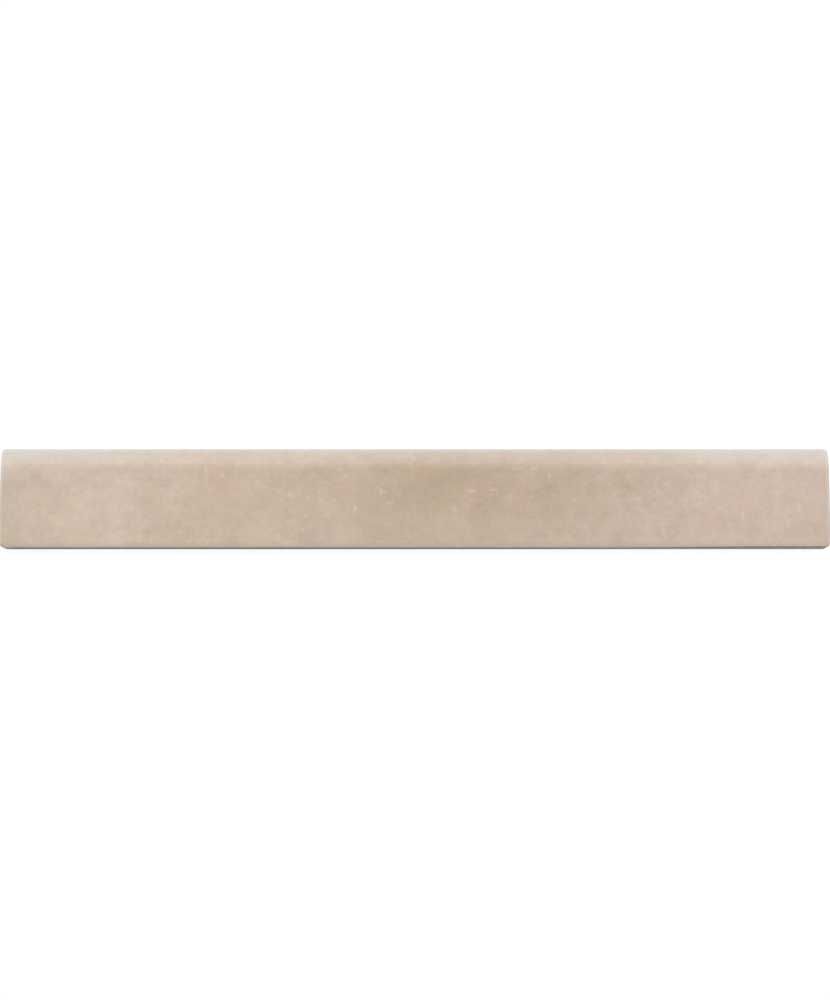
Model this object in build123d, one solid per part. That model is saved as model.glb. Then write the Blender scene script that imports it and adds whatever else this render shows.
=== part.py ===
from build123d import *

import os
from math import radians, tan

# Skirting tile with a rounded top edge, one dry-pressed and fired porcelain piece.
# It lies on its back: X runs along the tile, +Y points to the rounded top edge
# and +Z points out of the decorated face. The origin is the middle of the back.

# Fired size, in millimetres
LENGTH = 600.0
HEIGHT = 73.0
THICKNESS = 9.5

# Nose along the top edge: the face bends into a slope, and the slope rounds over
# to a narrow upright land that meets the wall
NOSE_REACH = 13.0
NOSE_SLOPE_DEGREES = 22.0
NOSE_BEND_RADIUS = 14.0
NOSE_LAND = 1.5

# Softened arris round the two ends and along the bottom edge, and the two bottom corners
ARRIS_RADIUS = 1.5
CORNER_RADIUS = 5.0

# Keying lattice pressed into the back: plain border, ribs and the pockets between them
KEY_BORDER = 5.0
KEY_RIB = 3.0
KEY_PITCH = 22.0
KEY_DEPTH = 0.8
KEY_DRAFT_DEGREES = 30.0


def nose_section() -> Sketch:
    """Cross-section of the tile on the YZ plane, with the nose at the top edge."""
    top = HEIGHT / 2
    bottom = -HEIGHT / 2
    slope_foot = THICKNESS - NOSE_REACH * tan(radians(NOSE_SLOPE_DEGREES))
    tip_turn = radians(90 - NOSE_SLOPE_DEGREES)
    tip_radius = (slope_foot - NOSE_LAND) / tan(tip_turn / 2)
    corners = [
        (bottom, 0),
        (bottom, THICKNESS),
        (top - NOSE_REACH, THICKNESS),
        (top, slope_foot),
        (top, 0),
    ]
    radii = [0, 0, NOSE_BEND_RADIUS, tip_radius, 0]
    return Plane.YZ * make_face(FilletPolyline(*corners, radius=radii, close=True))


def round_corners(blank: Part) -> Part:
    """Round the two upright corners at the bottom edge."""
    return fillet(blank.edges().filter_by(Axis.Z).sort_by(Axis.Y)[:2], CORNER_RADIUS)


def soften_arrises(blank: Part) -> Part:
    """Round the end profiles, nose included, and on round the corners and the bottom edge of the face."""
    back = blank.faces().sort_by(Axis.Z)[0]
    face = blank.faces().sort_by(Axis.Z)[-1]
    ends = blank.faces().filter_by(Axis.X).edges()
    crease = face.edges().sort_by(Axis.Y)[-1:]
    corner_seams = blank.edges().filter_by(Axis.Z).sort_by(Axis.Y)[:4]
    rim = ends + (face.edges() - ends) - crease - corner_seams - back.edges()
    return fillet(rim, ARRIS_RADIUS)


def key_pockets() -> list[Part]:
    """Shallow drafted pockets of the back lattice, with a rib across the middle of the length."""
    span_x = LENGTH - 2 * KEY_BORDER + KEY_RIB
    span_y = HEIGHT - 2 * KEY_BORDER + KEY_RIB
    columns = 2 * max(1, round(span_x / KEY_PITCH / 2))
    rows = max(1, round(span_y / KEY_PITCH))
    pitch_x = span_x / columns
    pitch_y = span_y / rows
    mouth = Rectangle(pitch_x - KEY_RIB, pitch_y - KEY_RIB)
    pocket = extrude(mouth, KEY_DEPTH, taper=KEY_DRAFT_DEGREES)
    return [place * pocket for place in GridLocations(pitch_x, pitch_y, columns, rows)]


def skirting_tile() -> Part:
    """The whole tile: nosed blank, rounded corners, softened arrises and keyed back."""
    blank = extrude(nose_section(), LENGTH / 2, both=True)
    return soften_arrises(round_corners(blank)) - key_pockets()


os.makedirs("parts", exist_ok=True)
export_step(skirting_tile(), "parts/skirting_tile.step")
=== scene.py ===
"""Models and dresses the skirting tile, and sets the studio that it is seen in.

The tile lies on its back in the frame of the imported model: X runs along its length, +Y points to the
nosed top edge and +Z out of the decorated face. All sizes are in metres.
"""

import logging
import math
from collections.abc import Callable, Iterable
from dataclasses import dataclass
from enum import Enum

import bpy
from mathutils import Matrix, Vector


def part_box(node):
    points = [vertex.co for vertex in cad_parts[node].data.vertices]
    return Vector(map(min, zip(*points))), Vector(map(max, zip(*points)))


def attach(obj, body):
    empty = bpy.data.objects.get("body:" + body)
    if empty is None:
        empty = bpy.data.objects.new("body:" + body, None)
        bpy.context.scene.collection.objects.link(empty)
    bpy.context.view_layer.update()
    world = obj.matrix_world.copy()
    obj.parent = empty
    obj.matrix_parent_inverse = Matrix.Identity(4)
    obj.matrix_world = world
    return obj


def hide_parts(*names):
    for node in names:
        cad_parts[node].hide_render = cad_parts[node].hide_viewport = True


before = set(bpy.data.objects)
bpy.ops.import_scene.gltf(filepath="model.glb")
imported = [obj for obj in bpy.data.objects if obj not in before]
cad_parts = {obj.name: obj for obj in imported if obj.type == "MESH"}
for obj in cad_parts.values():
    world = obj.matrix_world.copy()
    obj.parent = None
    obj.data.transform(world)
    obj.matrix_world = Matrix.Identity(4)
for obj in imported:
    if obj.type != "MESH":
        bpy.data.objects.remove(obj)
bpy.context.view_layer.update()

MM = 0.001
NODE = "skirting_tile"
TOUCH = 0.02 * MM
BLUR = 0.15 * MM
NODE_STEP = 170
NODE_ROWS = 5

log = logging.getLogger("skirting tile")

Socket = bpy.types.NodeSocket
Corners = list[Vector]
Fade = tuple[float, float]
Triple = tuple[float, float, float]


class Pick(Enum):
    """The kinds of mesh element that an edit-mode tool acts on, with their select modes."""

    EDGES = (False, True, False)
    FACES = (False, False, True)


class Coat(Enum):
    """The material slots of the tile, by what covers the clay there."""

    GLAZE = 0
    BODY = 1


class Side(Enum):
    """The parts of each half of the surface that lie separately on the map."""

    SKIN = "face, nose, ends and bottom edge"
    BACK = "keyed back"


def near(a: float, b: float) -> bool:
    """True where two sizes are the same to within a touch."""
    return abs(a - b) < TOUCH


@dataclass(frozen=True)
class Tone:
    """A colour as it is seen, in eight-bit display values.

    Attributes:
        red: Red, 0 to 255.
        green: Green, 0 to 255.
        blue: Blue, 0 to 255.
    """

    red: float
    green: float
    blue: float

    def linear(self) -> tuple[float, float, float, float]:
        """The colour as the shader's linear values, with full alpha."""
        return (*(self._channel(value / 255) for value in (self.red, self.green, self.blue)), 1.0)

    @staticmethod
    def _channel(value: float) -> float:
        """One display value between 0 and 1, as a linear value."""
        return value / 12.92 if value <= 0.04045 else ((value + 0.055) / 1.055) ** 2.4


class Wiring:
    """Adds shader nodes to one node tree and links them as it goes."""

    def __init__(self, tree: bpy.types.NodeTree) -> None:
        """Starts wiring in the node tree of a material or a group."""
        self.tree = tree
        self.count = 0

    def node(self, kind: str, inputs: dict | None = None, **settings: object) -> bpy.types.Node:
        """Adds a node and fills or links its inputs.

        Args:
            kind: The node's type name, without its ShaderNode prefix.
            inputs: Values or sockets by input name or number.
            settings: Properties of the node itself.

        Returns:
            The new node.
        """
        made = self.tree.nodes.new("ShaderNode" + kind)
        self.count += 1
        made.location = (self.count * NODE_STEP, -(self.count % NODE_ROWS) * NODE_STEP)
        for name, value in settings.items():
            setattr(made, name, value)
        for key, value in (inputs or {}).items():
            self.feed(made.inputs[key], value)
        return made

    def feed(self, socket: Socket, value: object) -> None:
        """Links an input to an output socket, or sets it to a plain value.

        Args:
            socket: The input to fill.
            value: The output to link, or the value.
        """
        if isinstance(value, Socket):
            self.tree.links.new(value, socket)
        else:
            socket.default_value = value

    def math(self, operation: str, *values: object) -> Socket:
        """Adds a Math node with these inputs, and gives its result."""
        return self.node("Math", dict(enumerate(values)), operation=operation).outputs[0]

    def vector(self, operation: str, *values: object) -> Socket:
        """Adds a Vector Math node with these inputs, and gives its vector, or its number for a length."""
        made = self.node("VectorMath", dict(enumerate(values)), operation=operation)
        return made.outputs["Value" if operation == "LENGTH" else "Vector"]

    def apart(self, place: Socket, far: float) -> Socket:
        """Moves a place, so that two patterns don't coincide."""
        return self.vector("ADD", place, (far, 0.7 * far, 1.3 * far))

    def noise(self, place: Socket, size: float, detail: float = 3.0) -> Socket:
        """Adds soft noise, 0.5 on average, with spots of about a size and a number of finer layers."""
        inputs = {"Vector": place, "Scale": 1 / size, "Detail": detail, "Roughness": 0.55}
        return self.node("TexNoise", inputs).outputs["Fac"]

    def streaks(self, place: Socket, length: float, width: float, turn: float = 0.0) -> Socket:
        """Adds noise whose marks have a length and a width, turned from the tile's length by radians."""
        inputs = {"Vector": place, "Rotation": (0.0, 0.0, turn), "Scale": (width / length, 1.0, 1.0)}
        return self.noise(self.node("Mapping", inputs, vector_type="POINT").outputs[0], width, 3)

    def ramp(self, value: object, low: float, high: float, start: float = 0.0, end: float = 1.0) -> Socket:
        """Turns a value between low and high into one between start and end, with soft shoulders."""
        inputs = {"Value": value, "From Min": low, "From Max": high, "To Min": start, "To Max": end}
        return self.node("MapRange", inputs, interpolation_type="SMOOTHSTEP").outputs["Result"]

    def swing(self, value: Socket, amount: float) -> Socket:
        """Turns noise about 0.5 into a factor about 1, which swings by the given amount each way."""
        return self.math("MULTIPLY_ADD", self.math("SUBTRACT", value, 0.5), 2 * amount, 1.0)

    def spots(self, place: Socket, size: float, radius: float, bare: float) -> Socket:
        """Scatters small round marks.

        Args:
            place: The place that they are read at.
            size: How far apart they can be.
            radius: Their radius.
            bare: The share of places that have no mark.

        Returns:
            A mask that is 1 in the middle of a mark.
        """
        cells = self.node("TexVoronoi", {"Vector": place, "Scale": 1 / size})
        mark = self.ramp(cells.outputs["Distance"], radius / size, 0.25 * radius / size)
        lot = self.node("SeparateColor", {"Color": cells.outputs["Color"]}).outputs["Red"]
        return self.math("MULTIPLY", mark, self.ramp(lot, bare, 0.7 + 0.3 * bare))

    def blend(self, factor: object, under: object, over: object, mode: str = "MIX") -> Socket:
        """Mixes two colours.

        Args:
            factor: How much of the second colour shows.
            under: The first colour.
            over: The second colour.
            mode: The blend type.

        Returns:
            The mixed colour.
        """
        made = self.node("Mix", data_type="RGBA", blend_type=mode)
        for number, value in ((0, factor), (6, under), (7, over)):
            self.feed(made.inputs[number], value)
        return made.outputs[2]

    def shade(self, colour: object, factor: Socket) -> Socket:
        """Multiplies a colour by a plain factor."""
        return self.vector("MULTIPLY", colour if isinstance(colour, Socket) else colour[:3], factor)

    def darken(self, colour: Socket, mask: Socket, depth: float) -> Socket:
        """Takes a share of a colour's light away where a mask is 1."""
        return self.shade(colour, self.math("MULTIPLY_ADD", mask, -depth, 1.0))

    def ragged(self, place: Socket, fineness: float, reach: tuple[float, float]) -> Socket:
        """Moves a place to and fro, so that outlines read there come out ragged.

        Args:
            place: The place.
            fineness: How many swings the movement makes in a metre.
            reach: Its range, along and up the tile.

        Returns:
            The moved place.
        """
        noise = self.node("TexNoise", {"Vector": place, "Scale": fineness, "Detail": 4.0})
        swing = self.vector("SUBTRACT", noise.outputs["Color"], (0.5, 0.5, 0.5))
        return self.vector("ADD", place, self.vector("MULTIPLY", swing, (*reach, 0.0)))


class Group:
    """A shader node group with named inputs and outputs, which the materials place."""

    def __init__(self, name: str, outputs: dict[str, str]) -> None:
        """Makes the group with a Place input.

        Args:
            name: The group's name.
            outputs: Socket types by output name, such as Color or Float.
        """
        self.tree = bpy.data.node_groups.new(name, "ShaderNodeTree")
        self.tree.interface.new_socket("Place", in_out="INPUT", socket_type="NodeSocketVector")
        for output, kind in outputs.items():
            self.tree.interface.new_socket(output, in_out="OUTPUT", socket_type="NodeSocket" + kind)
        self.wiring = Wiring(self.tree)
        self.place = self.tree.nodes.new("NodeGroupInput").outputs["Place"]
        self.results = self.tree.nodes.new("NodeGroupOutput").inputs

    def give(self, name: str, value: Socket) -> None:
        """Links a result to one of the group's outputs."""
        self.tree.links.new(value, self.results[name])

    def put_in(self, wiring: Wiring, place: Socket) -> bpy.types.bpy_prop_collection:
        """Places the group in a material.

        Args:
            wiring: The material's tree.
            place: The place that the group's patterns are read at.

        Returns:
            The outputs of the placed group.
        """
        made = wiring.node("Group", node_tree=self.tree)
        wiring.feed(made.inputs["Place"], place)
        return made.outputs


def new_material(name: str) -> tuple[bpy.types.Material, Wiring, bpy.types.Node]:
    """Makes a material that holds only a Principled shader and its output.

    Args:
        name: The material's name.

    Returns:
        The material, the wiring of its tree and the shader.
    """
    made = bpy.data.materials.new(name)
    made.use_nodes = True
    return made, Wiring(made.node_tree), made.node_tree.nodes["Principled BSDF"]


@dataclass(frozen=True)
class Cloud:
    """A soft patch of another tone in the face's decoration.

    Attributes:
        centre: Its middle on the face, along and up the tile.
        reach: How far it fades out, along and up the tile.
        tone: Its colour.
        strength: How much of that colour shows in its middle.
    """

    centre: tuple[float, float]
    reach: tuple[float, float]
    tone: Tone
    strength: float = 1.0


@dataclass(frozen=True)
class StoneDecor:
    """The concrete-look decoration that is printed under the glaze, as a node group.

    Attributes:
        ground: The colour between the clouds.
        clouds: The patches of other tones, the lowest layer first.
        cloud_fade: Where a cloud ends and where it is full, as shares of its reach.
        blush: The pinkish cast of some small patches.
        moss: The greenish cast of others.
        cast_sizes: How far apart those patches are, layer by layer.
        light: The colour of the light blotches, flecks and dashes.
        fleck_strength: How much of that colour shows in a fleck.
        fleck_fade: Where a fleck ends and where it is full, as shares of its reach.
        flecks: The middle and the reach of each larger light fleck, along and up the tile, in millimetres.
    """

    ground: Tone = Tone(197, 177, 160)
    clouds: tuple[Cloud, ...] = (
        Cloud((-0.225, -0.002), (0.095, 0.070), Tone(208, 189, 173)),
        Cloud((-0.120, -0.005), (0.100, 0.060), Tone(198, 178, 156), 0.9),
        Cloud((0.040, 0.004), (0.160, 0.062), Tone(185, 163, 141)),
        Cloud((0.018, 0.018), (0.050, 0.020), Tone(176, 154, 130), 0.7),
        Cloud((0.076, 0.004), (0.030, 0.014), Tone(184, 159, 139), 0.6),
        Cloud((0.250, 0.000), (0.125, 0.090), Tone(205, 184, 171)),
        Cloud((-0.298, 0.000), (0.036, 0.060), Tone(198, 181, 164), 0.8),
        Cloud((-0.268, 0.012), (0.012, 0.026), Tone(191, 171, 153), 0.6),
        Cloud((-0.288, 0.026), (0.030, 0.020), Tone(206, 193, 181), 0.6),
    )
    cloud_fade: Fade = (1.0, 0.0)
    blush: Tone = Tone(255, 250, 248)
    moss: Tone = Tone(251.5, 252.5, 246)
    cast_sizes: tuple[float, ...] = (26 * MM, 11 * MM, 5 * MM)
    light: Tone = Tone(214, 198, 182)
    fleck_strength: float = 0.5
    fleck_fade: Fade = (1.3, 0.1)
    flecks: tuple[tuple[float, float, float, float], ...] = (
        (57.0, 5.7, 4.2, 0.9), (41.0, 5.0, 3.6, 0.9), (-43.2, -8.1, 2.2, 3.4), (28.8, -8.9, 2.0, 2.2),
        (-90.0, 2.8, 2.4, 3.6), (86.5, 21.0, 3.4, 1.2), (115.3, -1.6, 3.0, 2.0), (269.5, -18.3, 2.0, 3.6),
        (277.5, -7.4, 2.4, 3.0), (260.2, 3.5, 4.0, 2.2), (237.1, -14.0, 1.8, 4.0), (-18.0, -3.8, 3.4, 0.9),
        (98.0, 15.9, 1.5, 2.2),
    )

    def group(self) -> Group:
        """Builds the node group.

        Returns:
            A group from Place to Color, Height and Sheen, the last two 0.5 on average.
        """
        made = Group("stone_decor", {"Color": "Color", "Height": "Float", "Sheen": "Float"})
        wiring, place = made.wiring, made.place
        mottle = wiring.noise(place, 24 * MM, 5)
        sweep = wiring.streaks(wiring.apart(place, 0.31), 36 * MM, 8 * MM, 0.12)
        patch = wiring.noise(wiring.apart(place, 0.45), 10 * MM, 4)
        speckle = wiring.noise(wiring.apart(place, 0.57), 3.5 * MM, 4)
        brush = wiring.streaks(wiring.apart(place, 0.83), 30 * MM, 1.4 * MM)
        dots = wiring.noise(wiring.apart(place, 1.09), 0.6 * MM, 2)
        ragged = wiring.ragged(place, 24.0, (120 * MM, 60 * MM))
        colour = self._lay(wiring, ragged, self.ground.linear(), self.clouds, self.cloud_fade)
        for size in self.cast_sizes:
            cast = wiring.noise(wiring.apart(place, 14 * size), size, 3)
            colour = wiring.blend(wiring.ramp(cast, 0.48, 0.72), colour, self.blush.linear(), "MULTIPLY")
            colour = wiring.blend(wiring.ramp(cast, 0.52, 0.28), colour, self.moss.linear(), "MULTIPLY")
        broad = ((mottle, 0.14), (sweep, 0.07), (patch, 0.12))
        fine = ((speckle, 0.10), (brush, 0.025), (dots, 0.075))
        for value, amount in broad + fine:
            colour = wiring.shade(colour, wiring.swing(value, amount))
        colour = self._marks(wiring, place, colour)
        ragged = wiring.ragged(place, 520.0, (4 * MM, 3 * MM))
        made.give("Color", self._lay(wiring, ragged, colour, self._flecks(), self.fleck_fade))
        made.give("Sheen", wiring.math("MULTIPLY_ADD", mottle, 0.6, wiring.math("MULTIPLY", brush, 0.4)))
        relief = wiring.math("MULTIPLY_ADD", speckle, 0.6, wiring.math("MULTIPLY", dots, 0.25))
        made.give("Height", wiring.math("MULTIPLY_ADD", brush, 0.15, relief))
        return made

    @staticmethod
    def _lay(wiring: Wiring, place: Socket, colour: object, patches: Iterable[Cloud], fade: Fade) -> Socket:
        """Lays soft oval patches over a colour, one after the other.

        Args:
            wiring: The group's tree.
            place: The place on the tile.
            colour: The colour so far.
            patches: The patches.
            fade: Where a patch ends and where it is full, as shares of its reach.

        Returns:
            The colour with the patches.
        """
        for patch in patches:
            off = wiring.vector("SUBTRACT", place, (*patch.centre, 0.0))
            off = wiring.vector("MULTIPLY", off, (1 / patch.reach[0], 1 / patch.reach[1], 0.0))
            mask = wiring.ramp(wiring.vector("LENGTH", off), *fade, 0.0, patch.strength)
            colour = wiring.blend(mask, colour, patch.tone.linear())
        return colour

    def _flecks(self) -> Iterable[Cloud]:
        """The larger light flecks, as small patches."""
        for x, y, wide, tall in self.flecks:
            yield Cloud((x * MM, y * MM), (wide * MM, tall * MM), self.light, self.fleck_strength)

    def _marks(self, wiring: Wiring, place: Socket, colour: Socket) -> Socket:
        """Adds small light blotches, short light dashes and darker wisps.

        Args:
            wiring: The group's tree.
            place: The place on the tile.
            colour: The colour so far.

        Returns:
            The marked colour.
        """
        crowd = wiring.ramp(wiring.noise(wiring.apart(place, 1.43), 70 * MM, 2), 0.40, 0.62)
        blotch = wiring.ramp(wiring.noise(wiring.apart(place, 1.71), 5.5 * MM, 3), 0.56, 0.74, 0.0, 0.55)
        colour = wiring.blend(wiring.math("MULTIPLY", crowd, blotch), colour, self.light.linear())
        drawn_out = wiring.vector("MULTIPLY", wiring.apart(place, 1.97), (0.26, 1.0, 1.0))
        dash = wiring.spots(drawn_out, 8 * MM, 1.0 * MM, 0.62)
        colour = wiring.blend(wiring.math("MULTIPLY", dash, 0.45), colour, self.light.linear())
        wisp = wiring.ramp(wiring.streaks(wiring.apart(place, 2.3), 16 * MM, 3 * MM, 0.9), 0.60, 0.78)
        return wiring.darken(colour, wisp, 0.07)


@dataclass(frozen=True)
class MineralGrain:
    """The grains and pinholes of the fired clay and of the glaze on it, as a node group.

    Attributes:
        grain: The size of the grains.
        pinhole: The radius of the pinholes.
        pinhole_gap: How far apart the pinholes can be.
    """

    grain: float = 0.8 * MM
    pinhole: float = 0.22 * MM
    pinhole_gap: float = 4.0 * MM

    def group(self) -> Group:
        """Builds the node group.

        Returns:
            A group from Place to Grain, 0.5 on average, and Pinholes, a mask.
        """
        made = Group("mineral_grain", {"Grain": "Float", "Pinholes": "Float"})
        made.give("Grain", made.wiring.noise(made.place, self.grain, 3))
        made.give("Pinholes", made.wiring.spots(made.place, self.pinhole_gap, self.pinhole, 0.55))
        return made


@dataclass(frozen=True)
class GlazeEdges:
    """Where the glaze thins towards the arrises and the tip, with painted highlight and sheen there, where
    shade is painted along the bottom edge, and where it is worn off, as a node group.

    Attributes:
        low: The tile's lowest corner.
        high: The tile's highest corner.
        width: How far from an arris the glaze thins.
        foot_share: How much of that shows along the bottom edge.
        edge_shade_width: How far from the bottom edge shade is painted on the face.
        tip_width: How far from the tip it thins and a sheen is painted.
        tip_sheen_share: How much of that paler tone, thinner glaze and painted sheen, shows.
        nose_width: How far from the tip it thins a little and a fainter sheen is painted.
        nose_sheen_share: How much of that shows in the middle and at the ends of the tile.
        nose_fade: The distances from an end between which that share changes.
        worn_from: Where along the tile the bottom arris starts to be worn.
        worn_to: Where it is worn most.
        worn_width: How far it is worn there.
        worn_fade: The distances from an end between which the wear begins.
    """

    low: Vector
    high: Vector
    width: float = 2.8 * MM
    foot_share: float = 0.72
    edge_shade_width: float = 5.0 * MM
    tip_width: float = 3.8 * MM
    tip_sheen_share: float = 0.35
    nose_width: float = 15.0 * MM
    nose_sheen_share: tuple[float, float] = (0.40, 0.75)
    nose_fade: Fade = (130 * MM, 30 * MM)
    worn_from: float = 100 * MM
    worn_to: float = 270 * MM
    worn_width: float = 1.2 * MM
    worn_fade: Fade = (1 * MM, 7 * MM)

    def group(self) -> Group:
        """Builds the node group.

        Returns:
            A group from Place to the masks Arris, 1 where the glaze is thinnest and a highlight is painted,
            TipSheen, 1 where it is thinnest and a sheen is painted, EdgeShade, for painted shade along the
            bottom edge, and Worn.
        """
        made = Group("glaze_edges", {"Arris": "Float", "TipSheen": "Float", "EdgeShade": "Float", "Worn": "Float"})
        wiring = made.wiring
        split = wiring.node("SeparateXYZ", {"Vector": made.place}).outputs
        stray = wiring.math("SUBTRACT", wiring.noise(made.place, 3.5 * MM, 3), 0.5)
        to_end = wiring.math("SUBTRACT", self.high.x, wiring.math("ABSOLUTE", split["X"]))
        to_foot = wiring.math("SUBTRACT", split["Y"], self.low.y)
        to_tip = wiring.math("SUBTRACT", self.high.y, split["Y"])
        ends = self._thin(wiring, to_end, stray, self.width)
        foot = self._thin(wiring, to_foot, stray, 0.9 * self.width)
        foot = wiring.math("MULTIPLY", foot, self.foot_share)
        made.give("Arris", wiring.math("MAXIMUM", ends, foot))
        # Painted shade: a band along the bottom edge of the face.
        made.give("EdgeShade", self._thin(wiring, to_foot, stray, self.edge_shade_width))
        # Thinner glaze and painted sheen: the nose grows paler and greyer towards the tip.
        slope = wiring.ramp(to_end, *self.nose_fade, *self.nose_sheen_share)
        slope = wiring.math("MULTIPLY", self._thin(wiring, to_tip, stray, self.nose_width), slope)
        tip = self._thin(wiring, to_tip, stray, self.tip_width)
        made.give("TipSheen", wiring.math("MULTIPLY_ADD", tip, self.tip_sheen_share, slope))
        reach = wiring.ramp(split["X"], self.worn_from, self.worn_to, -0.3 * MM, self.worn_width)
        within = wiring.math("SUBTRACT", wiring.math("MULTIPLY_ADD", stray, 0.5 * MM, reach), to_foot)
        worn = wiring.ramp(within, -BLUR, BLUR)
        made.give("Worn", wiring.math("MULTIPLY", worn, wiring.ramp(to_end, *self.worn_fade)))
        return made

    @staticmethod
    def _thin(wiring: Wiring, distance: Socket, stray: Socket, width: float) -> Socket:
        """A mask that fades from 1 at an edge to 0 at a width from it, along a line that strays."""
        return wiring.ramp(wiring.math("MULTIPLY_ADD", stray, 0.4 * width, distance), width, 0.0)


@dataclass(frozen=True)
class GlazeFinish:
    """The satin glaze on the face, the nose and the arrises.

    Attributes:
        thin_and_highlight_tone: Its paler colour on the arrises, where it is thin and a highlight is
            painted.
        thin_and_highlight_share: How much of that colour shows on the arrises.
        tip_sheen_tone: Its paler, greyer colour at the tip, where it is thin and a sheen is painted.
        edge_shade_depth: How much of its light the painted shade takes along the bottom edge.
        worn_tone: The colour of the arris where the glaze is worn off.
        worn_light_swing: How much painted light brightens that at the very edge, and painted shade darkens
            it further in.
        ior: Its index of refraction.
        roughness: Its mean roughness.
        unevenness: How far the roughness swings where the glaze is drier or wetter.
        relief: The height of its fine relief.
    """

    thin_and_highlight_tone: Tone = Tone(224, 214, 207)
    thin_and_highlight_share: float = 0.85
    tip_sheen_tone: Tone = Tone(205, 199, 192)
    edge_shade_depth: float = 0.19
    worn_tone: Tone = Tone(163, 151, 144)
    worn_light_swing: float = 0.22
    ior: float = 1.55
    roughness: float = 0.34
    unevenness: float = 0.08
    relief: float = 0.10 * MM

    def material(self, decor: Group, grain: Group, edges: Group) -> bpy.types.Material:
        """Makes the glaze.

        Args:
            decor: The decoration under it.
            grain: Its grains and pinholes.
            edges: Where it is thin or worn.

        Returns:
            The material.
        """
        made, wiring, shader = new_material("satin_glaze")
        place = wiring.node("TexCoord").outputs["Object"]
        pattern = decor.put_in(wiring, place)
        minerals = grain.put_in(wiring, place)
        masks = edges.put_in(wiring, place)
        # Thinner glaze and painted sheen make the nose paler and greyer towards the tip.
        colour = wiring.blend(masks["TipSheen"], pattern["Color"], self.tip_sheen_tone.linear())
        # Painted shade along the bottom edge of the face.
        colour = wiring.darken(colour, masks["EdgeShade"], self.edge_shade_depth)
        # Thinner glaze and a painted highlight on the arrises.
        thin = wiring.math("MULTIPLY", masks["Arris"], self.thin_and_highlight_share)
        colour = wiring.blend(thin, colour, self.thin_and_highlight_tone.linear())
        colour = wiring.darken(colour, minerals["Pinholes"], 0.22)
        worn = wiring.shade(self.worn_tone.linear(), wiring.swing(minerals["Grain"], 0.25))
        # Painted light and shade across the worn arris: lighter where it turns down, darker further in.
        graded = wiring.ramp(masks["Arris"], 0.45, 0.72, 1 - self.worn_light_swing, 1 + self.worn_light_swing)
        worn = wiring.shade(worn, graded)
        wiring.feed(shader.inputs["Base Color"], wiring.blend(masks["Worn"], colour, worn))
        shader.inputs["IOR"].default_value = self.ior
        dry = wiring.math("SUBTRACT", pattern["Sheen"], 0.5)
        gloss = wiring.math("MULTIPLY_ADD", dry, 4 * self.unevenness, self.roughness)
        wiring.feed(shader.inputs["Roughness"], wiring.math("MULTIPLY_ADD", masks["Worn"], 0.4, gloss))
        height = wiring.math("MULTIPLY_ADD", minerals["Pinholes"], -0.6, pattern["Height"])
        bump = wiring.node("Bump", {"Height": height, "Strength": 0.6, "Distance": self.relief})
        wiring.feed(shader.inputs["Normal"], bump.outputs["Normal"])
        return made


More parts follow.
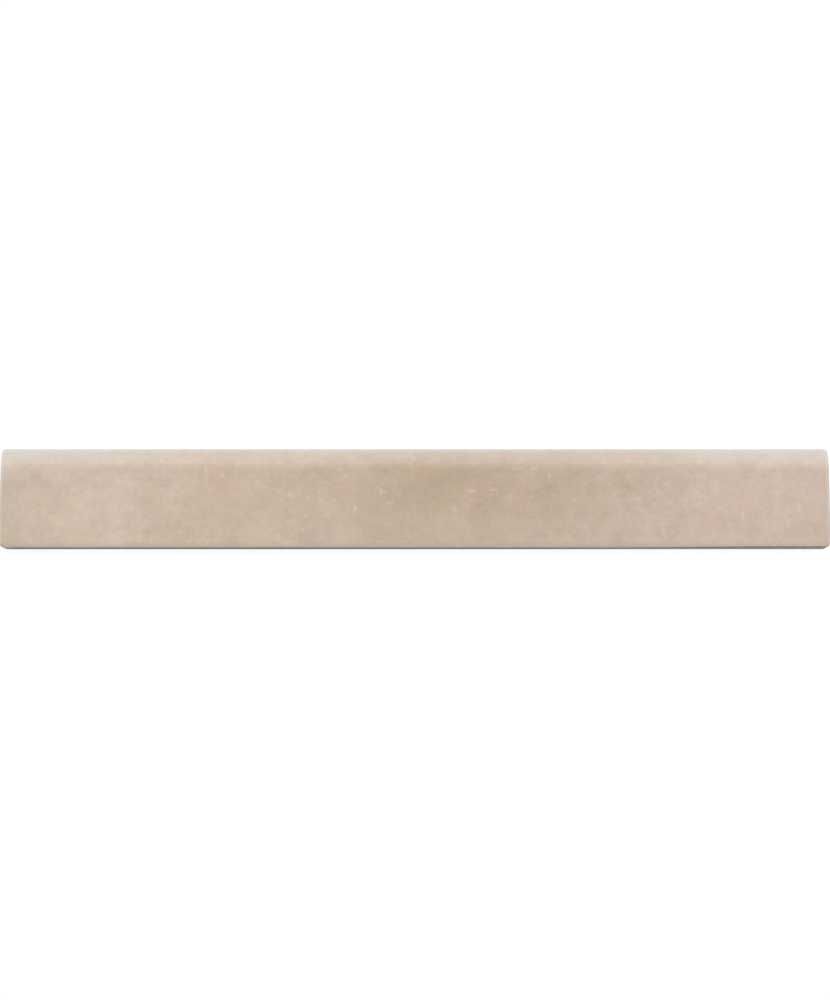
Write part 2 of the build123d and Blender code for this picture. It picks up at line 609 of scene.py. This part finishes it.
@dataclass(frozen=True)
class BodyFinish:
    """The bare fired body on the edges and the back, with the glaze that ran over the arris.

    Attributes:
        clay: The body's colour.
        foot: Its colour along the bottom edge, darkened there by painted shade.
        foot_shade: How much of that colour's light the painted shade leaves at the very bottom.
        foot_width: How far from the bottom edge the painted shade reaches.
        pale_foot: Its colour towards the right end of that edge, where less shade is painted.
        shade_fade_from: Where along the tile the painted shade starts to fade.
        shade_fade_to: Where it has faded most.
        corner: A paler colour at the bottom corners, painted light where the tile's ends catch more light.
        corner_light_width: How far from an end that painted light reaches.
        grain_depth: How much darker its dark grains are.
        kiln_wash: The chalky coat that stays on the ribs of the back.
        run_tone: The colour of the glaze that ran over.
        run_depth: How far below the face that glaze reaches.
        run_wander: How far its lower line wanders.
        roughness: The body's roughness.
        relief: The height of its grain.
    """

    clay: Tone = Tone(174, 164, 152)
    foot: Tone = Tone(118, 110, 101)
    foot_shade: float = 0.7
    foot_width: float = 4.5 * MM
    pale_foot: Tone = Tone(213, 203, 196)
    shade_fade_from: float = 60 * MM
    shade_fade_to: float = 220 * MM
    corner: Tone = Tone(224, 215, 207)
    corner_light_width: float = 14 * MM
    grain_depth: float = 0.30
    kiln_wash: Tone = Tone(222, 217, 208)
    run_tone: Tone = Tone(176, 165, 152)
    run_depth: float = 2.4 * MM
    run_wander: float = 1.0 * MM
    roughness: float = 0.82
    relief: float = 0.12 * MM

    def material(self, grain: Group, low: Vector, high: Vector) -> bpy.types.Material:
        """Makes the bare body.

        Args:
            grain: Its grains and pinholes.
            low: The tile's lowest corner.
            high: The tile's highest corner.

        Returns:
            The material.
        """
        made, wiring, shader = new_material("fired_body")
        place = wiring.node("TexCoord").outputs["Object"]
        split = wiring.node("SeparateXYZ", {"Vector": place}).outputs
        height = split["Z"]
        minerals = grain.put_in(wiring, place)
        cloud = wiring.noise(place, 14 * MM, 4)
        dark = wiring.ramp(minerals["Grain"], 0.54, 0.70, 1.0, 1.0 - self.grain_depth)
        # Painted shade: the bottom edge is darkened, most towards the floor and at the left, less towards
        # the right end.
        foot_shade = wiring.ramp(height, 0.5 * MM, 4.5 * MM, self.foot_shade, 1.0)
        less_shade = wiring.ramp(split["X"], self.shade_fade_from, self.shade_fade_to)
        foot = wiring.blend(less_shade, wiring.shade(self.foot.linear(), foot_shade), self.pale_foot.linear())
        at_foot = wiring.ramp(wiring.math("SUBTRACT", split["Y"], low.y), self.foot_width, 0.5 * MM)
        colour = wiring.blend(at_foot, self.clay.linear(), foot)
        grainy = wiring.math("MULTIPLY", dark, wiring.swing(cloud, 0.12))
        colour = wiring.shade(colour, grainy)
        on_ribs = wiring.ramp(height, 0.25 * MM, 0.0, 0.0, 0.75)
        wash = wiring.math("MULTIPLY", on_ribs, wiring.ramp(cloud, 0.42, 0.60))
        colour = wiring.blend(wash, colour, self.kiln_wash.linear())
        stray = wiring.math("SUBTRACT", wiring.noise(wiring.apart(place, 0.4), 6 * MM, 3), 0.5)
        line = wiring.math("MULTIPLY_ADD", stray, 4 * self.run_wander, height)
        edge = high.z - self.run_depth
        glazed = wiring.ramp(line, edge - BLUR, edge + BLUR)
        colour = wiring.blend(glazed, colour, self.run_tone.linear())
        # Painted light: the bottom corners are paler, where the tile's ends catch more light.
        to_end = wiring.math("SUBTRACT", high.x, wiring.math("ABSOLUTE", split["X"]))
        at_corner = wiring.math("MULTIPLY", at_foot, wiring.ramp(to_end, self.corner_light_width, 2 * MM))
        corner = wiring.shade(self.corner.linear(), grainy)
        wiring.feed(shader.inputs["Base Color"], wiring.blend(at_corner, colour, corner))
        wiring.feed(shader.inputs["Roughness"], wiring.ramp(glazed, 0.0, 1.0, self.roughness, 0.5))
        rough = wiring.math("MULTIPLY_ADD", minerals["Pinholes"], -0.8, minerals["Grain"])
        bump = wiring.node("Bump", {"Height": rough, "Strength": 0.7, "Distance": self.relief})
        wiring.feed(shader.inputs["Normal"], bump.outputs["Normal"])
        return made


@dataclass
class Nose:
    """The bent and rounded top edge of the tile.

    Attributes:
        reach: How far it reaches down the face.
        slope: The angle of its sloped part below the face, in radians.
        bend_radius: The radius where the face bends into the slope.
        land: The height of the upright land at its foot.
        bend_cuts: Facets round the bend.
        tip_cuts: Facets round the tip.
    """

    reach: float = 13.0 * MM
    slope: float = math.radians(22.0)
    bend_radius: float = 14.0 * MM
    land: float = 1.5 * MM
    bend_cuts: int = 10
    tip_cuts: int = 14

    def drop(self) -> float:
        """How far the slope falls below the face at the tile's top edge."""
        return self.reach * math.tan(self.slope)

    def bend_offset(self) -> float:
        """How far the bend reaches to each side of its crease."""
        return self.bend_radius * math.tan(self.slope / 2)


@dataclass
class KeyLattice:
    """The shallow pockets between ribs that are pressed into the back.

    Attributes:
        border: The plain width round the pockets.
        rib: The width of the ribs.
        pitch: About how far apart the pockets are.
        depth: How deep they are.
        draft: The slant of their walls, in radians.
        corner: The rounding of their corners.
        corner_cuts: Facets round a corner.
    """

    border: float = 5.0 * MM
    rib: float = 3.0 * MM
    pitch: float = 22.0 * MM
    depth: float = 0.8 * MM
    draft: float = math.radians(30.0)
    corner: float = 1.6 * MM
    corner_cuts: int = 3

    def count(self, span: float, step: int) -> int:
        """The pockets along a span, in multiples of a step: an even number puts a rib at its middle."""
        return step * max(1, round((span - 2 * self.border + self.rib) / self.pitch / step))


@dataclass(frozen=True)
class Wave:
    """A gentle unevenness of the pressed and glazed surface.

    Attributes:
        name: What it is.
        size: How far apart its crests are.
        depth: How deep its troughs are.
    """

    name: str
    size: float
    depth: float


@dataclass
class SkirtingTile:
    """The tile as one pressed, glazed and fired piece.

    Attributes:
        low: The lowest corner of its node.
        high: The highest corner of its node.
        nose: Its top edge.
        key: Its back.
        waves: The unevenness of its upper surface.
        arris: The rounding of its ends and its bottom edge.
        arris_cuts: Facets round an arris.
        corner: The rounding of its two bottom corners.
        corner_cuts: Facets round a corner.
        grid: The spacing of the face's mesh.
        calm: How far from an edge an unevenness has its full depth.
        crease: The angle between two faces, in radians, up to which they are shaded as one.
        piece: The finished object.
    """

    low: Vector
    high: Vector
    nose: Nose
    key: KeyLattice
    waves: tuple[Wave, ...] = (Wave("broad_wave", 30 * MM, 0.12 * MM), Wave("fine_wave", 7 * MM, 0.05 * MM))
    arris: float = 1.5 * MM
    arris_cuts: int = 6
    corner: float = 5.0 * MM
    corner_cuts: int = 9
    grid: float = 1.6 * MM
    calm: float = 4 * MM
    crease: float = math.radians(30)
    piece: bpy.types.Object | None = None

    def build(self) -> bpy.types.Object:
        """Models the tile.

        Returns:
            The finished object.
        """
        self._add_blank()
        self._press_back()
        self._bend_nose()
        self._round_corners()
        self._soften_arrises()
        self._divide_face()
        for wave in self.waves:
            self._ripple(wave)
        self._smooth()
        return self.piece

    def dress(self, glaze: bpy.types.Material, body: bpy.types.Material) -> None:
        """Gives each face of the mesh its coat.

        Args:
            glaze: The glazed finish.
            body: The bare finish.
        """
        self.piece.data.materials.append(glaze)
        self.piece.data.materials.append(body)
        for face in self.piece.data.polygons:
            face.material_index = self._coat(face).value

    def _coat(self, face: bpy.types.MeshPolygon) -> Coat:
        """What covers one face of the mesh.

        Args:
            face: The face.

        Returns:
            Glaze on the face, the nose and the arrises, and otherwise the bare body.
        """
        on_face = face.center.z > self.high.z - self.arris - TOUCH
        on_nose = face.center.y > self.high.y - self.nose.reach and face.center.z > self.nose.land
        return Coat.GLAZE if on_face or on_nose else Coat.BODY

    def _add_blank(self) -> None:
        """Starts from a block of the tile's own size and place."""
        bpy.ops.object.select_all(action="DESELECT")
        middle, size = (self.low + self.high) / 2, self.high - self.low
        bpy.ops.mesh.primitive_cube_add(size=1.0, calc_uvs=False, location=middle, scale=size)
        bpy.ops.object.transform_apply(location=True, rotation=True, scale=True)
        self.piece = bpy.context.object
        self.piece.name = self.piece.data.name = "fired_skirting_tile"

    def _pick(self, kind: Pick, test: Callable[[Corners], bool]) -> None:
        """Selects the edges or faces whose corners pass a test, and enters edit mode on them.

        Args:
            kind: The kind of element.
            test: Says whether an element with these corners is wanted.
        """
        bpy.ops.object.mode_set(mode="OBJECT")
        mesh = self.piece.data
        places = [vertex.co.copy() for vertex in mesh.vertices]
        for elements in (mesh.vertices, mesh.edges, mesh.polygons):
            elements.foreach_set("select", [False] * len(elements))
        for element in mesh.edges if kind is Pick.EDGES else mesh.polygons:
            element.select = test([places[number] for number in element.vertices])
        bpy.context.tool_settings.mesh_select_mode = kind.value
        bpy.ops.object.mode_set(mode="EDIT")

    def _round(self, test: Callable[[Corners], bool], reach: float, cuts: int) -> None:
        """Rounds the edges whose ends pass a test.

        Args:
            test: Says whether an edge with these ends is wanted.
            reach: How far the rounding reaches to each side of an edge.
            cuts: Its facets.
        """
        self._pick(Pick.EDGES, test)
        bpy.ops.mesh.bevel(offset=reach, segments=cuts, affect="EDGES")
        bpy.ops.object.mode_set(mode="OBJECT")

    def _divide(self, test: Callable[[Corners], bool], cuts: int) -> None:
        """Divides the edges whose ends pass a test by a number of cuts."""
        self._pick(Pick.EDGES, test)
        bpy.ops.mesh.subdivide(number_cuts=cuts)

    def _press_back(self) -> None:
        """Presses the pockets into the back: border, cells, ribs, then drafted walls."""
        key, low = self.key, self.low.z
        size = self.high - self.low
        inner = key.border - key.rib / 2
        half = size / 2 - Vector((inner, inner, 0.0))

        def on_back(corners: Corners) -> bool:
            """True for what lies on the back."""
            return all(near(corner.z, low) for corner in corners)

        def inside(corners: Corners) -> bool:
            """True for what lies on the back within the border."""
            return on_back(corners) and all(
                abs(corner.x) < half.x + TOUCH and abs(corner.y) < half.y + TOUCH for corner in corners
            )

        self._pick(Pick.FACES, on_back)
        bpy.ops.mesh.inset(thickness=inner)
        self._divide(lambda ends: inside(ends) and near(ends[0].y, ends[1].y), key.count(size.x, 2) - 1)
        self._divide(lambda ends: inside(ends) and near(ends[0].x, ends[1].x), key.count(size.y, 1) - 1)
        self._pick(Pick.FACES, inside)
        bpy.ops.mesh.inset(thickness=key.rib / 2, use_individual=True)
        bpy.ops.mesh.inset(thickness=key.depth * math.tan(key.draft), depth=-key.depth, use_individual=True)
        self._round(lambda ends: near(abs(ends[0].z - ends[1].z), key.depth), key.corner, key.corner_cuts)

    def _bend_nose(self) -> None:
        """Cuts the slope off the top edge and rounds its crease and its tip."""
        nose, top, face = self.nose, self.high.y, self.high.z
        crease = top - nose.reach
        foot = face - nose.drop()
        normal = (0.0, math.sin(nose.slope), math.cos(nose.slope))
        self._cut((0.0, crease, face), normal, use_fill=True, clear_outer=True)

        def along(y: float, z: float) -> Callable[[Corners], bool]:
            """A test for the edge that runs along the tile at a height up it and above its back."""
            return lambda ends: all(near(end.y, y) and near(end.z, z) for end in ends)

        self._round(along(crease, face), nose.bend_offset(), nose.bend_cuts)
        self._round(along(top, foot), foot - nose.land, nose.tip_cuts)

    def _round_corners(self) -> None:
        """Rounds the two upright corners at the bottom edge."""
        low, high = self.low, self.high

        def upright(ends: Corners) -> bool:
            """True for an edge that stands at a bottom corner."""
            at_corner = all(near(abs(end.x), high.x) and near(end.y, low.y) for end in ends)
            return at_corner and near(ends[0].x, ends[1].x)

        self._round(upright, self.corner, self.corner_cuts)

    def _soften_arrises(self) -> None:
        """Rounds the ends of the tile, nose included, the corners and the bottom edge of the face."""
        low, high = self.low, self.high
        past = Vector((high.x - self.corner, low.y + self.corner))

        def on_outline(place: Vector) -> bool:
            """Says whether a place lies on the outline of the face.

            Args:
                place: The place.

            Returns:
                True on its ends, its bottom edge and its rounded corners.
            """
            off = Vector((abs(place.x), place.y)) - past
            on_corner = off.x > -TOUCH and off.y < TOUCH and near(off.length, self.corner)
            return on_corner or near(abs(place.x), high.x) or near(place.y, low.y)

        def sharp(ends: Corners) -> bool:
            """Says whether an edge is to be rounded.

            Args:
                ends: The edge's ends.

            Returns:
                True between the outline and the face or the nose.
            """
            one_side = ends[0].x * ends[1].x > 0
            on_nose = one_side and all(near(abs(end.x), high.x) and end.y > past.y + TOUCH for end in ends)
            on_face = all(near(end.z, high.z) and on_outline(end) for end in ends)
            on_foot = all(near(end.y, low.y) for end in ends)
            on_back = all(near(end.z, low.z) for end in ends)
            return (on_face and (one_side or on_foot)) or (on_nose and not on_back)

        self._round(sharp, self.arris, self.arris_cuts)

    def _divide_face(self) -> None:
        """Divides the face and the nose into small quads, and the whole tile at its middle."""
        low = self.low.z + TOUCH
        size = self.high - self.low
        slope_run = self.nose.reach / 2

        def spans(axis: int, least: float, most: float) -> Callable[[Corners], bool]:
            """A test for edges above the back whose extent along an axis lies between two sizes."""
            return lambda ends: (
                min(end.z for end in ends) > low and least < abs(ends[0][axis] - ends[1][axis]) < most
            )

        for side in (-1, 1):
            self._cut((side * (self.high.x - self.corner), 0.0, 0.0), (1.0, 0.0, 0.0))
        self._cut((0.0, self.low.y + self.corner, 0.0), (0.0, 1.0, 0.0))
        self._divide(spans(0, size.x / 2, 2 * size.x), 2 * round(size.x / self.grid / 2) - 1)
        self._divide(spans(1, size.y / 2, size.y), round((size.y - self.nose.reach) / self.grid) - 1)
        self._divide(spans(1, slope_run, size.y / 2), round(slope_run / self.grid))
        self._cut((0.0, 0.0, 0.0), (1.0, 0.0, 0.0))

    def _cut(self, place: Triple, normal: Triple, **settings: bool) -> None:
        """Cuts the mesh along a plane, and keeps both sides unless the settings say otherwise.

        Args:
            place: A place on the plane.
            normal: The plane's normal.
            settings: What else the cut does, such as filling its section.
        """
        self._pick(Pick.FACES, lambda corners: True)
        bpy.ops.mesh.bisect(plane_co=place, plane_no=normal, **settings)
        bpy.ops.object.mode_set(mode="OBJECT")

    def _ripple(self, wave: Wave) -> None:
        """Presses an unevenness into the face and the nose, and leaves the edges straight.

        Args:
            wave: The unevenness.
        """
        skin = self.piece.vertex_groups.new(name=wave.name)
        for vertex in self.piece.data.vertices:
            skin.add([vertex.index], self._freedom(vertex.co), "REPLACE")
        clouds = bpy.data.textures.new(wave.name, "CLOUDS")
        clouds.noise_scale = wave.size
        self._apply("DISPLACE", texture=clouds, mid_level=1.0, strength=wave.depth, vertex_group=skin.name)
        self.piece.vertex_groups.remove(self.piece.vertex_groups[wave.name])
        bpy.data.textures.remove(clouds)

    def _freedom(self, place: Vector) -> float:
        """How much of an unevenness shows at a place of the surface.

        Args:
            place: The place.

        Returns:
            1 on the face and the nose, and 0 along the ends, the bottom edge and the land.
        """
        sunk = self.high.z - place.z
        if place.y > self.high.y - self.nose.reach - self.nose.bend_offset():
            edge = place.z - self.nose.land
        else:
            edge = 0.0 if sunk > 0.01 * MM else place.y - self.low.y - self.arris
        edge = min(edge, self.high.x - self.arris - abs(place.x))
        return min(1.0, max(0.0, edge / self.calm))

    def _smooth(self) -> None:
        """Shades the rounded parts smoothly and keeps the flats flat."""
        bpy.ops.object.shade_smooth_by_angle(angle=self.crease)
        self._apply("WEIGHTED_NORMAL", keep_sharp=True, weight=50)

    def _apply(self, kind: str, **settings: object) -> None:
        """Adds a modifier and applies it.

        Args:
            kind: The modifier's type.
            settings: Its properties.
        """
        made = self.piece.modifiers.new(kind.lower(), kind)
        for name, value in settings.items():
            setattr(made, name, value)
        bpy.ops.object.modifier_apply(modifier=made.name)


@dataclass
class SurfaceMap:
    """The map that the tile's looks are kept on, with each half of its skin and of its back in a strip.

    The skin is spread out flat round the face: the walls fold outwards, and the nose forwards.

    Attributes:
        low: The tile's lowest corner.
        high: The tile's highest corner.
        nose: Its top edge.
        name: The map's name.
        gap: The space between the strips, as a share of the map.
        slack: How far the face may lie below its flat without being taken for a wall.
        under: The upright part of a face's normal below which the face belongs to the back.
    """

    low: Vector
    high: Vector
    nose: Nose
    name: str = "OFBake"
    gap: float = 0.008
    slack: float = 0.25 * MM
    under: float = -0.2

    def draw(self, piece: bpy.types.Object) -> None:
        """Gives the tile its map.

        Args:
            piece: The finished tile.
        """
        mesh = piece.data
        places = mesh.uv_layers.new(name=self.name).data
        for face in mesh.polygons:
            side = Side.BACK if face.normal.z < self.under else Side.SKIN
            half = 0 if face.center.x < 0 else 1
            for number in face.loop_indices:
                vertex = mesh.vertices[mesh.loops[number].vertex_index]
                places[number].uv = self._place(vertex, side, half)

    def _place(self, vertex: bpy.types.MeshVertex, side: Side, half: int) -> tuple[float, float]:
        """Where a corner of a face lies on the map.

        Args:
            vertex: The corner.
            side: The part of the surface that the face belongs to.
            half: 0 for the left half of the tile and 1 for the right half.

        Returns:
            Its place, each way between 0 and 1.
        """
        size = self.high - self.low
        scale = (1 - 2 * self.gap) / (size.x / 2 + size.z)
        skin = scale * (size.y + 2 * size.z)
        back = (1 - 2 * skin - 5 * self.gap) / 2
        if side is Side.SKIN:
            across, up = self._spread(vertex)
            strip = half * (skin + self.gap)
            rise = scale * (up - self.low.y + size.z)
        else:
            across = abs(vertex.co.x)
            strip = 2 * (skin + self.gap) + half * (back + self.gap)
            rise = back * (vertex.co.y - self.low.y) / size.y
        along = self.gap + scale * across
        mirrored = (side is Side.SKIN) == (half == 0)
        return 1 - along if mirrored else along, self.gap + strip + rise

    def _spread(self, vertex: bpy.types.MeshVertex) -> Vector:
        """Where a corner of the skin lies when the skin is spread out flat.

        Args:
            vertex: The corner.

        Returns:
            Its distances along the half tile and up the tile.
        """
        place, normal = vertex.co, vertex.normal
        fallen = max(0.0, place.y - self.high.y + self.nose.reach) * math.tan(self.nose.slope)
        sunk = max(0.0, self.high.z - fallen - place.z - self.slack)
        outward = Vector((abs(normal.x), normal.y)).normalized()
        return Vector((abs(place.x), place.y + fallen)) + sunk * outward


@dataclass(frozen=True)
class FloorFinish:
    """A matte white that the camera and reflections see as white, and that takes a shadow.

    Attributes:
        albedo: How much light it sends back.
        glow: How much white the camera and reflections see besides, round the object.
        far: The distances from the middle at which that grows to pure white.
    """

    albedo: float = 0.22
    glow: float = 0.86
    far: Fade = (0.6, 1.8)

    def material(self) -> bpy.types.Material:
        """Makes the white.

        Returns:
            The material.
        """
        made, wiring, shader = new_material("studio_white")
        shader.inputs["Base Color"].default_value = (self.albedo, self.albedo, self.albedo, 1.0)
        shader.inputs["Roughness"].default_value = 1.0
        shader.inputs["Specular IOR Level"].default_value = 0.0
        away = wiring.vector("LENGTH", wiring.node("TexCoord").outputs["Object"])
        white = wiring.ramp(away, *self.far, self.glow, 1.0)
        glow = wiring.node("Emission", {"Strength": wiring.math("MULTIPLY", seen(wiring), white)})
        both = wiring.node("AddShader", {0: shader.outputs[0], 1: glow.outputs[0]})
        wiring.feed(made.node_tree.nodes["Material Output"].inputs["Surface"], both.outputs[0])
        return made


@dataclass(frozen=True)
class Lamp:
    """A soft rectangular lamp that points at the tile.

    Attributes:
        name: What it is.
        place: Where its middle hangs.
        size: Its width and height.
        power: Its power in watts.
    """

    name: str
    place: Triple
    size: tuple[float, float]
    power: float

    def hang(self) -> None:
        """Adds the lamp to the scene."""
        light = bpy.data.lights.new(self.name, "AREA")
        light.shape = "RECTANGLE"
        light.size, light.size_y = self.size
        light.energy = self.power
        made = bpy.data.objects.new(self.name, light)
        bpy.context.scene.collection.objects.link(made)
        made.location = self.place
        made.rotation_euler = Vector(self.place).to_track_quat("Z", "Y").to_euler()
        made.visible_camera = False


@dataclass
class Studio:
    """The white floor, the soft lamps and the camera.

    Attributes:
        lamps: The lamps.
        sky: The strength of the even light from all round.
        floor: The floor's finish.
        floor_size: The side of the floor.
        floor_gap: How far it lies below the object.
        image: The picture's width and height, in pixels.
        shown_length: The length of the tile's bottom arris in the picture, in pixels.
        shown_middle: The column and the row of the picture that the tile's middle lies on.
        tilt: How far the camera leans from straight above towards the bottom edge, in radians.
        distance: How far the camera is from the tile.
    """

    lamps: tuple[Lamp, ...] = (
        Lamp("roof_panel", (0.0, 0.15, 2.1), (3.4, 2.6), 32.2),
        Lamp("back_card", (0.0, 1.6, 0.30), (3.6, 0.6), 14.6),
        Lamp("nose_strip", (0.0, 1.11, 1.00), (2.6, 0.3), 7.3),
    )
    sky: float = 0.26
    floor: FloorFinish = FloorFinish()
    floor_size: float = 12.0
    floor_gap: float = 0.1 * MM
    image: tuple[int, int] = (830, 1000)
    shown_length: float = 833.0
    shown_middle: tuple[float, float] = (414.7, 499.2)
    tilt: float = math.radians(7.5)
    distance: float = 1.50

    def set_up(self, low: Vector, high: Vector) -> None:
        """Makes the whole studio round an object.

        Args:
            low: The object's lowest corner.
            high: The object's highest corner.
        """
        bpy.context.scene.view_settings.view_transform = "Standard"
        self._lay_floor(low.z)
        self._light_sky()
        for lamp in self.lamps:
            lamp.hang()
        self._aim_camera(low, high)

    def _lay_floor(self, height: float) -> None:
        """Lays the floor under the object.

        Args:
            height: The height that the object stands at.
        """
        bpy.ops.object.select_all(action="DESELECT")
        place = (0.0, 0.0, height - self.floor_gap)
        bpy.ops.mesh.primitive_grid_add(
            x_subdivisions=4, y_subdivisions=4, size=self.floor_size, location=place
        )
        bpy.ops.object.transform_apply(location=True, rotation=True, scale=True)
        laid = bpy.context.object
        laid.name = "studio_floor"
        laid.data.materials.append(self.floor.material())

    def _light_sky(self) -> None:
        """Fills the shadows with even light, before a background that is seen as white."""
        world = bpy.data.worlds.new("studio_sky")
        world.use_nodes = True
        bpy.context.scene.world = world
        wiring = Wiring(world.node_tree)
        background = world.node_tree.nodes["Background"]
        background.inputs["Color"].default_value = (1.0, 1.0, 1.0, 1.0)
        strength = wiring.math("MULTIPLY_ADD", seen(wiring), 1 - self.sky, self.sky)
        wiring.feed(background.inputs["Strength"], strength)

    def _aim_camera(self, low: Vector, high: Vector) -> None:
        """Sets the camera at the photograph's viewing angle.

        Args:
            low: The object's lowest corner.
            high: The object's highest corner.
        """
        lens = bpy.data.cameras.new("studio_camera")
        camera = bpy.data.objects.new("studio_camera", lens)
        bpy.context.scene.collection.objects.link(camera)
        bpy.context.scene.camera = camera
        away = Vector((0.0, -math.sin(self.tilt), math.cos(self.tilt)))
        upward = Vector((0.0, math.cos(self.tilt), math.sin(self.tilt)))
        wide, tall = self.image
        shown_height = (high.x - low.x) * tall / self.shown_length
        bottom_arris = Vector((0.0, low.y, high.z))
        lens.lens = lens.sensor_width * (self.distance - bottom_arris.dot(away)) / shown_height
        middle = Vector((0.0, (low.y + high.y) / 2, low.z))
        aside = (wide / 2 - self.shown_middle[0]) * shown_height / tall
        above = (self.shown_middle[1] - tall / 2) * shown_height / tall
        camera.location = middle + Vector((aside, 0.0, 0.0)) + upward * above + away * self.distance
        camera.rotation_euler = away.to_track_quat("Z", "Y").to_euler()


def seen(wiring: Wiring) -> Socket:
    """A mask of what the camera, reflections and clear materials see.

    Args:
        wiring: The material's tree.

    Returns:
        1 for those rays, and 0 for the others.
    """
    path = wiring.node("LightPath").outputs
    rays = wiring.math("MAXIMUM", path["Is Camera Ray"], path["Is Glossy Ray"])
    return wiring.math("MAXIMUM", rays, path["Is Transmission Ray"])


def main() -> None:
    """Builds the tile and the studio."""
    logging.basicConfig(level=logging.INFO, format="%(name)s: %(message)s")
    low, high = (Vector(corner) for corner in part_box(NODE))
    tile = SkirtingTile(low, high, Nose(), KeyLattice())
    piece = tile.build()
    grain = MineralGrain().group()
    glaze = GlazeFinish().material(StoneDecor().group(), grain, GlazeEdges(low, high).group())
    tile.dress(glaze, BodyFinish().material(grain, low, high))
    SurfaceMap(low, high, tile.nose).draw(piece)
    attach(piece, "root")
    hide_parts(NODE)
    log.info("%s: %d faces", piece.name, len(piece.data.polygons))
    Studio().set_up(low, high)


if __name__ == "__main__":
    main()
